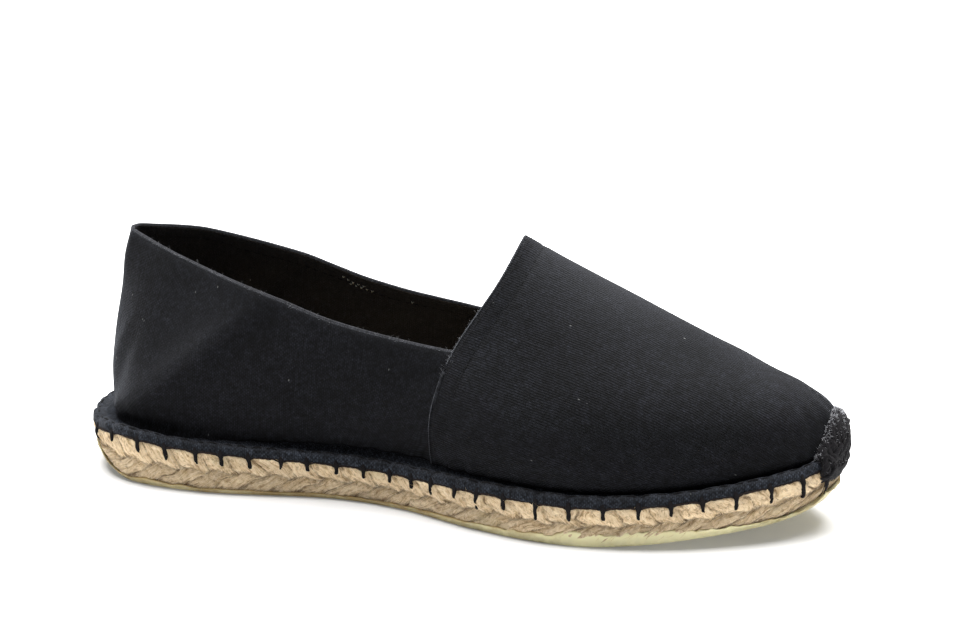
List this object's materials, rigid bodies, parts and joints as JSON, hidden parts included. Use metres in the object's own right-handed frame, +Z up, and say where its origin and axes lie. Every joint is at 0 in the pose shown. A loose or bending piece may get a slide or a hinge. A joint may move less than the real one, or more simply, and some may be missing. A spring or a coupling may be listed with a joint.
{
  "type": "espadrille",
  "caption": "Flat slip-on espadrille for the left foot: canvas upper with a low collar and folded hem, sewn to a plaited jute sole with a rubber underside and a stitched toe.",
  "frame": {"origin": "middle of the object's box at floor level", "axes": "+X towards the toe, +Y towards the outer side of the left foot, +Z up from the floor"},
  "size_m": [0.2838, 0.1006, 0.0971],
  "materials": {
    "rubber_outsole": "matt pale rubber film, greyed at the floor line",
    "jute_sole": "natural jute plait, dry and fibrous",
    "upper": "charcoal cotton canvas, fine lengthwise ribs on the vamp",
    "toe_stitching": "coarse black sewing yarn"
  },
  "bodies": {
    "root": {"rubber_outsole": "rubber_outsole", "jute_sole": "jute_sole", "upper": "upper", "toe_stitching": "toe_stitching"}
  },
  "joints": []
}
